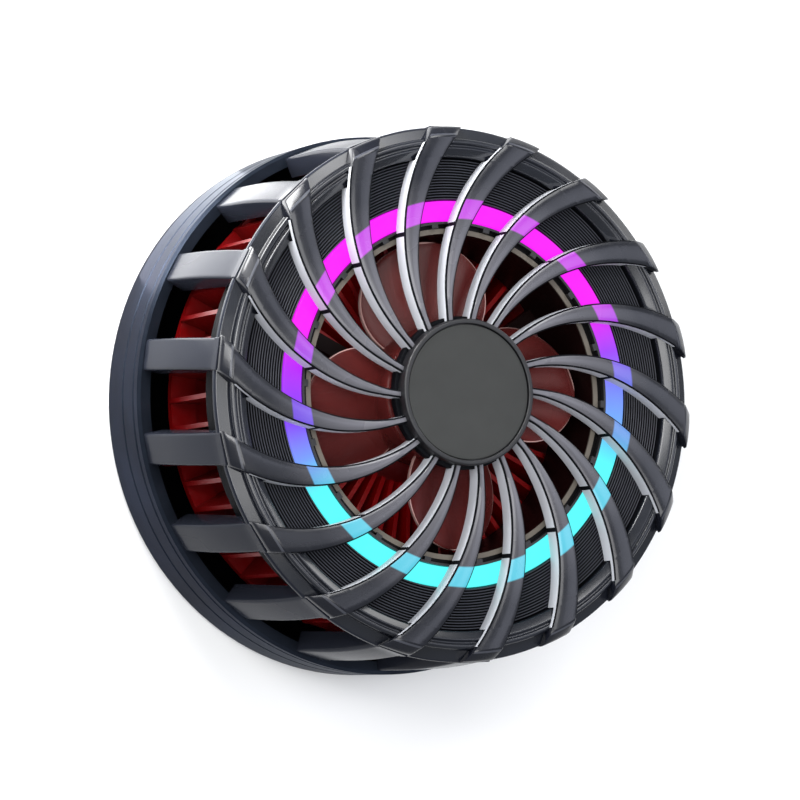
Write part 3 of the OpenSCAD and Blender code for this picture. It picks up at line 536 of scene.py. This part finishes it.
def arc_angle(r, arc):
    """The angle at radius r on a spoke's edge, an arc whose centre is at the given radius and angle."""
    c, a = arc
    return math.radians(a) + math.acos((r * r + c * c - ARC_R * ARC_R) / (2 * r * c))


def spoke_ring(r, low, top, edge):
    """One upright section of a spoke at radius r: up one side, over the crowned top and down the other."""
    a0 = arc_angle(r, LEAD_ARC)
    a1 = arc_angle(r, TRAIL_ARC)
    half = max((a1 - a0) * r / 2, SPOKE_HALF_MIN)
    edge = min(edge, (top - low) * 0.45)
    side = top - CROWN
    line = [(-half, low), (-half, side - edge), (-half + edge * 0.3, side - edge * 0.3), (-half + edge, side)]
    line += [(half * s, top - CROWN * s * s) for s in (-0.5, 0.0, 0.5)]
    line += [(half - edge, side), (half - edge * 0.3, side - edge * 0.3), (half, side - edge), (half, low)]
    mid = (a0 + a1) / 2
    return [(r * math.cos(mid + u / r), r * math.sin(mid + u / r), z) for u, z in line]


def spokes():
    """The spokes and their collar: free arms from the hub to the rim, then blocks over the hoop."""
    stations = []
    foot = RIM_IN - SPOKE_LAP
    shoulder = RIM_OUT + SPOKE_LAP
    for k in range(SPOKE_STEPS + 1):
        r = SPOKE_IN + (foot - SPOKE_IN) * k / SPOKE_STEPS
        stations.append((r, Z_SPOKE, Z_FRONT, SPOKE_EDGE))
    for k in range(BLOCK_STEPS + 1):
        r = foot + (shoulder - foot) * k / BLOCK_STEPS
        stations.append((r, Z_RIM, Z_FRONT, BLOCK_EDGE))
    arm_end = len(stations) - 2
    stations.append((shoulder, Z_HOOP, Z_FRONT, BLOCK_EDGE))
    stations.append((RIM_OUT + 0.3, Z_HOOP, Z_FRONT - 0.02, BLOCK_EDGE))
    crease = len(stations) - 1
    for r, top in ((33.5, 32.17), (33.8, 31.93), (34.15, 31.67), (34.4, 31.45), (34.5, 31.3), (34.55, 31.05)):
        stations.append((r, Z_HOOP, top, BLOCK_EDGE))
    rings = [spoke_ring(*s) for s in stations]
    one, faces, sides = skin(rings)
    n = len(rings[0])
    verts = []
    all_faces = []
    mats = []
    for k in range(SPOKES):
        a = math.radians(k * PITCH)
        c, s = math.cos(a), math.sin(a)
        base = len(verts)
        verts += [(x * c - y * s, x * s + y * c, z) for x, y, z in one]
        for f, side in zip(faces, sides):
            all_faces.append(tuple(base + i for i in f))
            station = f[0] // n
            # Side faces carry the painted light, except at the band of painted reflection
            if side in (0, n - 2) and station < arm_end:
                in_dark_ring_reflection = DARK_RING_REFLECTION[0] < stations[station][0] < DARK_RING_REFLECTION[1]
                mats.append(BLACK_AND_PAINTED_DARK if in_dark_ring_reflection else PAINTED_LIT_SIDE)
            # The bend station carries the painted highlight line
            elif station == crease and 3 <= side < n - 4:
                mats.append(BEND_HIGHLIGHT)
            # Bevels along the arms: painted shade as thin dark outlines
            elif side in (1, 2, n - 4, n - 3) and station < arm_end:
                mats.append(BLACK_AND_PAINTED_DARK)
            else:
                mats.append(TOP_FACE)
    collar = rounded([
        (COLLAR_IN, Z_COLLAR_LOW), (COLLAR_OUT, Z_COLLAR_LOW),
        (COLLAR_OUT, Z_COLLAR_TOP), (COLLAR_IN, Z_COLLAR_TOP),
    ], 0.12)
    m = len(collar)
    turns = 144
    base = len(verts)
    for k in range(turns):
        a = 2 * math.pi * k / turns
        verts += [(r * math.cos(a), r * math.sin(a), z) for r, z in collar]
    for k in range(turns):
        nxt = (k + 1) % turns
        for i in range(m):
            j = (i + 1) % m
            all_faces.append((base + k * m + i, base + nxt * m + i, base + nxt * m + j, base + k * m + j))
            mats.append(BLACK_AND_PAINTED_DARK)
    finishes = [smoke, painted_lit_side, black_and_painted_dark, painted_bend_highlight]
    obj = make_mesh("spoke_grille", verts, all_faces, "housing", finishes, mats, sharp=40)
    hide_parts("front_grille")


spokes()


# Side ribs that lean and curve in towards the front, with rounded edges


def rib_outer(z):
    """The outer face's radius: straight at first, then leaning in."""
    s = (z - Z_CUP) / (Z_RIB_TOP - Z_CUP)
    return RIB_OUT - RIB_LEAN * (max(0.0, s - RIB_STRAIGHT) / (1 - RIB_STRAIGHT)) ** 2


def ribs():
    middle = (Z_CUP + Z_RIB_TOP) / 2
    levels = [Z_CUP + (Z_RIB_TOP - Z_CUP) * k / RIB_STEPS for k in range(RIB_STEPS + 1)]
    rings = []
    for z in levels + [Z_RIB_TOP, Z_HOOP, Z_HOOP + 0.05]:
        over_hoop = len(rings) >= len(levels)
        out = HOOP + RIB_PROUD if over_hoop else max(rib_outer(z), HOOP + RIB_PROUD)
        back = HOOP - 0.3 if over_hoop else RIB_IN
        shift = (z - middle) * math.tan(RIB_SKEW)
        h = RIB_W / 2
        outline = rounded([(back, -h), (out, -h), (out, h), (back, h)], [0.1, RIB_EDGE, RIB_EDGE, 0.1])
        rings.append([(x, y + shift, z) for x, y in outline])
    one, faces, _ = skin(rings)
    verts = []
    all_faces = []
    for k in range(SPOKES):
        a = math.radians(RIB_MID_A + k * PITCH)
        c, s = math.cos(a), math.sin(a)
        base = len(verts)
        verts += [(x * c - y * s, x * s + y * c, z) for x, y, z in one]
        all_faces += [tuple(base + i for i in f) for f in faces]
    obj = make_mesh("cage_ribs", verts, all_faces, "housing", [smoke_rib], sharp=40)
    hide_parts("side_ribs")


ribs()


def rim_finish(r, z):
    """Painted shade below the hoop; dull on its outer wall and glossy above."""
    if z < Z_RIB_TOP - 0.1:
        return 2
    return 1 if r > HOOP - 0.2 else 0


# Rim with a wide inner chamfer, a trough, an outer lip, the hoop outside it and the skirt below
rim = lathe("cage_rim", rounded([
    (29.25, 25.94), (31.8, 25.94), (31.8, 22.34), (32.2, 22.34), (32.2, Z_RIB_TOP), (HOOP, Z_RIB_TOP),
    (HOOP, Z_HOOP - HOOP_FALL), (RIM_OUT, Z_HOOP), (RIM_OUT, Z_RIM - 0.2), (RIM_OUT - 0.3, Z_RIM),
    (32.35, Z_RIM),
    (32.15, 31.16), (31.95, 31.16), (31.75, Z_RIM), (31.6, Z_RIM), (RIM_IN, Z_RIM - 0.6),
    (RIM_IN, 26.94), (29.25, 26.94),
], [0.1, 0, 0.1, 0.1, 0.1, 0.3, 0.3, 0.15, 0.15, 0.15, 0.12, 0.15, 0.15, 0.06, 0.3, 0.3, 0.05, 0.1]),
    "housing", [smoke_rim, smoke_rib, black_and_painted_dark], pick=rim_finish)
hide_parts("rim_ring")

# Fine concentric ridges round the lit ring
ridges = []
STEP = (RIDGE_OUT - RIDGE_IN) / RIDGES
for i in range(RIDGES - 1, -1, -1):
    r0 = RIDGE_IN + i * STEP
    ridges += [(r0 + STEP, Z_RIDGE_FOOT), (r0 + 0.78 * STEP, Z_RIDGE_SIDE), (r0 + 0.5 * STEP, Z_SPOKE),
               (r0 + 0.22 * STEP, Z_RIDGE_SIDE)]
outline = [(RIDGE_IN, Z_RIDGE_LOW), (RIDGE_OUT, Z_RIDGE_LOW)] + ridges + [(RIDGE_IN, Z_RIDGE_FOOT)]
ridged = lathe("ridged_collar", outline, "housing", [ridge_painted_highlight])
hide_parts("ridged_ring")

# Lit ring with softened edges
lit = lathe("lit_ring", rounded([
    (LIT_IN, 28.74), (LIT_OUT, 28.74), (LIT_OUT, Z_SPOKE), (LIT_IN, Z_SPOKE),
], 0.15), "housing", [glow])
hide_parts("light_ring")

# Hub: raised bezel line, groove and a slightly dished cap
bezel = lathe("hub_rim", rounded([
    (0.0, 29.94), (7.85, 29.94), (7.85, 31.44), (9.45, 31.44), (9.45, 33.24), (8.8, 33.24), (8.8, 32.64),
    (0.0, 32.64),
], [0, 0.1, 0, 0.1, 0.25, 0.15, 0, 0]), "housing", [black])
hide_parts("hub_bezel")
cap = lathe("hub_disc", rounded([
    (0.0, 32.64), (8.7, 32.64), (8.7, 33.04), (7.9, 33.04), (0.0, 32.94),
], [0, 0, 0.15, 0.3, 0]), "housing", [cap_grey])
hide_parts("hub_cap")


# Fan: hub cup and round, cambered paddles


def paddle_fan():
    paddle_r = 7.8
    paddle_c = 12.4
    z_mid = 24.47
    slope = math.tan(math.radians(20))
    half_t = 0.45
    # Rows at the tip that get the painted edge highlight
    highlight_rows = 4
    verts = []
    faces = []
    mats = []
    rows = 30
    cols = 16
    for blade in range(PADDLES):
        turn = math.radians(5 + 360 / PADDLES * blade)
        for face in (1, -1):
            base = len(verts)
            for i in range(rows + 1):
                r = FAN_ROOT + (FAN_TIP - FAN_ROOT) * math.sin(math.pi / 2 * i / rows)
                cosine = (r * r + paddle_c ** 2 - paddle_r ** 2) / (2 * r * paddle_c)
                wide = math.acos(max(-1.0, min(1.0, cosine)))
                for j in range(cols + 1):
                    f = math.sin(math.pi / 2 * (2 * j / cols - 1))
                    a = f * wide
                    y = r * math.sin(a)
                    rim_fall = min(1.0, (1 - abs(f)) * 3.0, (1 - i / rows) * 4.0)
                    thick = half_t * (0.55 + 0.45 * math.sqrt(max(0.0, rim_fall)))
                    camber = 0.5 * (1 - (y / paddle_r) ** 2)
                    z = z_mid - slope * y + camber - 0.25 + face * thick
                    verts.append((r * math.cos(turn + a), r * math.sin(turn + a), z))
            for i in range(rows):
                for j in range(cols):
                    q = [base + i * (cols + 1) + j, base + (i + 1) * (cols + 1) + j,
                         base + (i + 1) * (cols + 1) + j + 1, base + i * (cols + 1) + j + 1]
                    faces.append(tuple(q if face > 0 else q[::-1]))
                    mats.append(1 if i >= rows - highlight_rows or j in (0, cols - 1) else 0)
        size = (rows + 1) * (cols + 1)
        top = len(verts) - 2 * size
        low = len(verts) - size
        edge = [i * (cols + 1) for i in range(rows + 1)]
        edge += [rows * (cols + 1) + j for j in range(1, cols + 1)]
        edge += [i * (cols + 1) + cols for i in range(rows - 1, -1, -1)]
        for p, q in zip(edge, edge[1:]):
            faces.append((top + q, top + p, low + p, low + q))
            mats.append(1)
    obj = make_mesh("paddles", verts, faces, "rotor", [red_clear, paddle_edge_highlight], mats, sharp=50)
    hub = lathe("fan_hub", rounded([
        (0.0, 26.64), (8.45, 26.64), (8.45, 21.2), (9.2, 21.2), (9.2, 27.84), (0.0, 27.84),
    ], [0, 0.2, 0.1, 0.1, 0.6, 0]), "rotor", [red_clear], turns=144)
    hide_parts("fan_impeller")
    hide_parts("fan_impeller")


paddle_fan()

# Pale floor
floor_mesh = bpy.data.meshes.new("floor")
span = 1.5
under = -0.0002
corners = [(-span, -span, under), (span, -span, under), (span, span, under), (-span, span, under)]
floor_mesh.from_pydata(corners, [], [(0, 1, 2, 3)])
floor_mat = surface("floor", linear(240, 240, 240), linear(244, 244, 244), (0.6, 0.7), 20, grain=0.0)
floor_mesh.materials.append(floor_mat)
floor = bpy.data.objects.new("floor", floor_mesh)
bpy.context.scene.collection.objects.link(floor)

# Soft studio light
world = bpy.data.worlds.new("studio")
world.use_nodes = True
world.node_tree.nodes["Background"].inputs["Color"].default_value = (0.9, 0.94, 1.0, 1)
world.node_tree.nodes["Background"].inputs["Strength"].default_value = 0.35
bpy.context.scene.world = world
bpy.context.scene.view_settings.view_transform = "Standard"


def softbox(name, at, aim, size, power, colour=(1, 1, 1)):
    lamp_data = bpy.data.lights.new(name, "AREA")
    lamp_data.shape = "RECTANGLE"
    lamp_data.size, lamp_data.size_y = size
    lamp_data.energy = power
    lamp_data.color = colour
    obj = bpy.data.objects.new(name, lamp_data)
    obj.location = at
    obj.rotation_mode = "QUATERNION"
    obj.rotation_quaternion = (Vector(aim) - Vector(at)).to_track_quat("-Z", "Y")
    bpy.context.scene.collection.objects.link(obj)
    obj.visible_camera = False


softbox("near", (-0.055, 0.075, 0.045), (-0.01, 0.01, 0.03), (0.05, 0.03), 0.13)
softbox("floor_strip", (-0.040, 0.034, 0.001), (-0.040, 0.034, 0.1), (0.05, 0.03), 0.022)
softbox("over_camera", (-0.42, -0.03, 0.78), (0, 0, 0), (0.6, 0.3), 3.2)
softbox("overhead", (0.0, -0.05, 0.9), (0, -0.02, 0), (0.4, 0.4), 2.2)
softbox("left_window", (-0.36, 0.2, 0.42), (0, 0, 0.02), (0.2, 0.2), 1.2)
softbox("mirror", (0.90, 0.05, 1.03), (0, 0, 0), (0.5, 0.7), 2.4, (0.82, 0.85, 1.0))
softbox("low_right", (0.55, 0.3, 0.2), (0, 0, 0.02), (0.4, 0.2), 1.0)
softbox("far", (0.2, 0.5, 0.7), (0, 0, 0), (0.35, 0.25), 2.2)

# Camera as fitted to the photograph's round edges
LENS = 170.22
CAM_AT = (-236.21, -20.42, 455.96)
CAM_RIGHT = (0.88097, -0.07207, 0.46766)
CAM_UP = (0.04418, 0.99654, 0.07035)
CAM_BACK = (-0.47111, -0.04131, 0.88111)
cam_data = bpy.data.cameras.new("camera")
cam_data.lens = LENS
cam_data.sensor_width = 36
cam_data.clip_start = 0.01
camera = bpy.data.objects.new("camera", cam_data)
turn = Matrix((CAM_RIGHT, CAM_UP, CAM_BACK)).transposed()
camera.matrix_world = Matrix.Translation(Vector(CAM_AT) * MM) @ turn.to_4x4()
bpy.context.scene.collection.objects.link(camera)
bpy.context.scene.camera = camera
